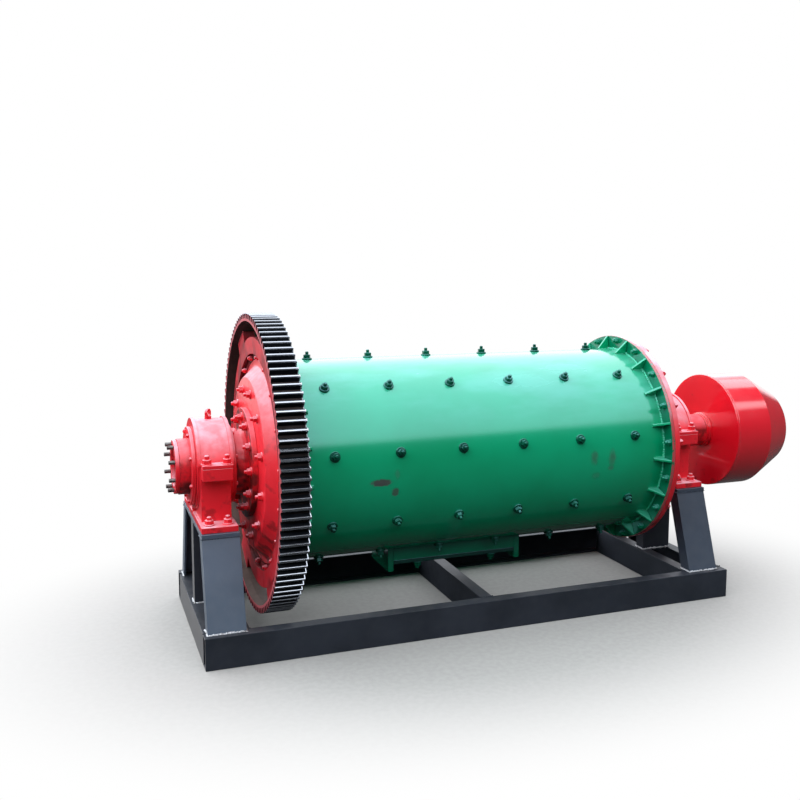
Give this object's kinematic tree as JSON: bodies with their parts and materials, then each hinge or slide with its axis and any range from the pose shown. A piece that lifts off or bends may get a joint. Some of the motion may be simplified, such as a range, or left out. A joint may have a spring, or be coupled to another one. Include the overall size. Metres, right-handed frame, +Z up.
{
  "type": "ball mill",
  "caption": "Skid-mounted ball mill: a horizontal steel drum with a girth gear and a drum feeder, carried by hollow trunnions in two pedestal bearings.",
  "frame": {"origin": "on the floor, on the underside of the skid frame, under the mill axis and midway along the frame", "axes": "+X along the mill axis from the discharge end to the feed end, +Y to the back, +Z up"},
  "size_m": [3.2765, 1.3636, 1.4528],
  "materials": {
    "frame_black": "satin black paint on rolled steel",
    "pedestal_grey": "slate grey satin paint",
    "red_paint": "glossy red enamel on cast steel",
    "green_gloss": "high gloss jade green enamel",
    "gear_black": "black paint, worn bright on the teeth",
    "bare_steel": "bare oiled steel",
    "bush_bronze": "machined bronze"
  },
  "bodies": {
    "base": {"bearing_left_bush": "bush_bronze", "bearing_left_cap": "red_paint", "bearing_left_inner_cover": "red_paint", "bearing_left_lower_housing": "red_paint", "bearing_left_outer_cover": "red_paint", "bearing_lifting_eyes": "red_paint", "bearing_right_bush": "bush_bronze", "bearing_right_cap": "red_paint", "bearing_right_inner_cover": "red_paint", "bearing_right_lower_housing": "red_paint", "bearing_right_outer_cover": "red_paint", "frame_cross_beam_inner_left": "frame_black", "frame_cross_beam_inner_right": "frame_black", "frame_cross_beam_left": "frame_black", "frame_cross_beam_middle": "frame_black", "frame_cross_beam_right": "frame_black", "frame_long_beam_back": "frame_black", "frame_long_beam_front": "frame_black", "pedestal_columns": "pedestal_grey", "pedestal_left_back_leg": "pedestal_grey", "pedestal_left_front_leg": "pedestal_grey", "pedestal_left_top_plate": "pedestal_grey", "pedestal_right_back_leg": "pedestal_grey", "pedestal_right_front_leg": "pedestal_grey", "pedestal_right_top_plate": "pedestal_grey"},
    "drum": {"discharge_end_cover": "red_paint", "drum_shell": "green_gloss", "feed_end_cover": "red_paint", "feeder_back_plate": "red_paint", "feeder_barrel": "red_paint", "feeder_hub": "red_paint", "feeder_scoop": "red_paint", "flange_gussets_left": "green_gloss", "flange_gussets_right": "green_gloss", "girth_gear_lower_half": "gear_black", "girth_gear_upper_half": "gear_black", "manhole_cover": "green_gloss", "manhole_end_bars": "green_gloss", "manhole_frame": "green_gloss", "shell_flange_left": "green_gloss", "shell_flange_right": "green_gloss", "spout_ring": "bare_steel", "spout_studs": "bare_steel", "trunnion_discharge": "red_paint", "trunnion_feed": "red_paint"}
  },
  "joints": [
    {"name": "drum_spin", "type": "hinge", "parent": "base", "child": "drum", "pos_m": [0, 0, 0.771], "axis": [1, 0, 0], "continuous": true}
  ]
}
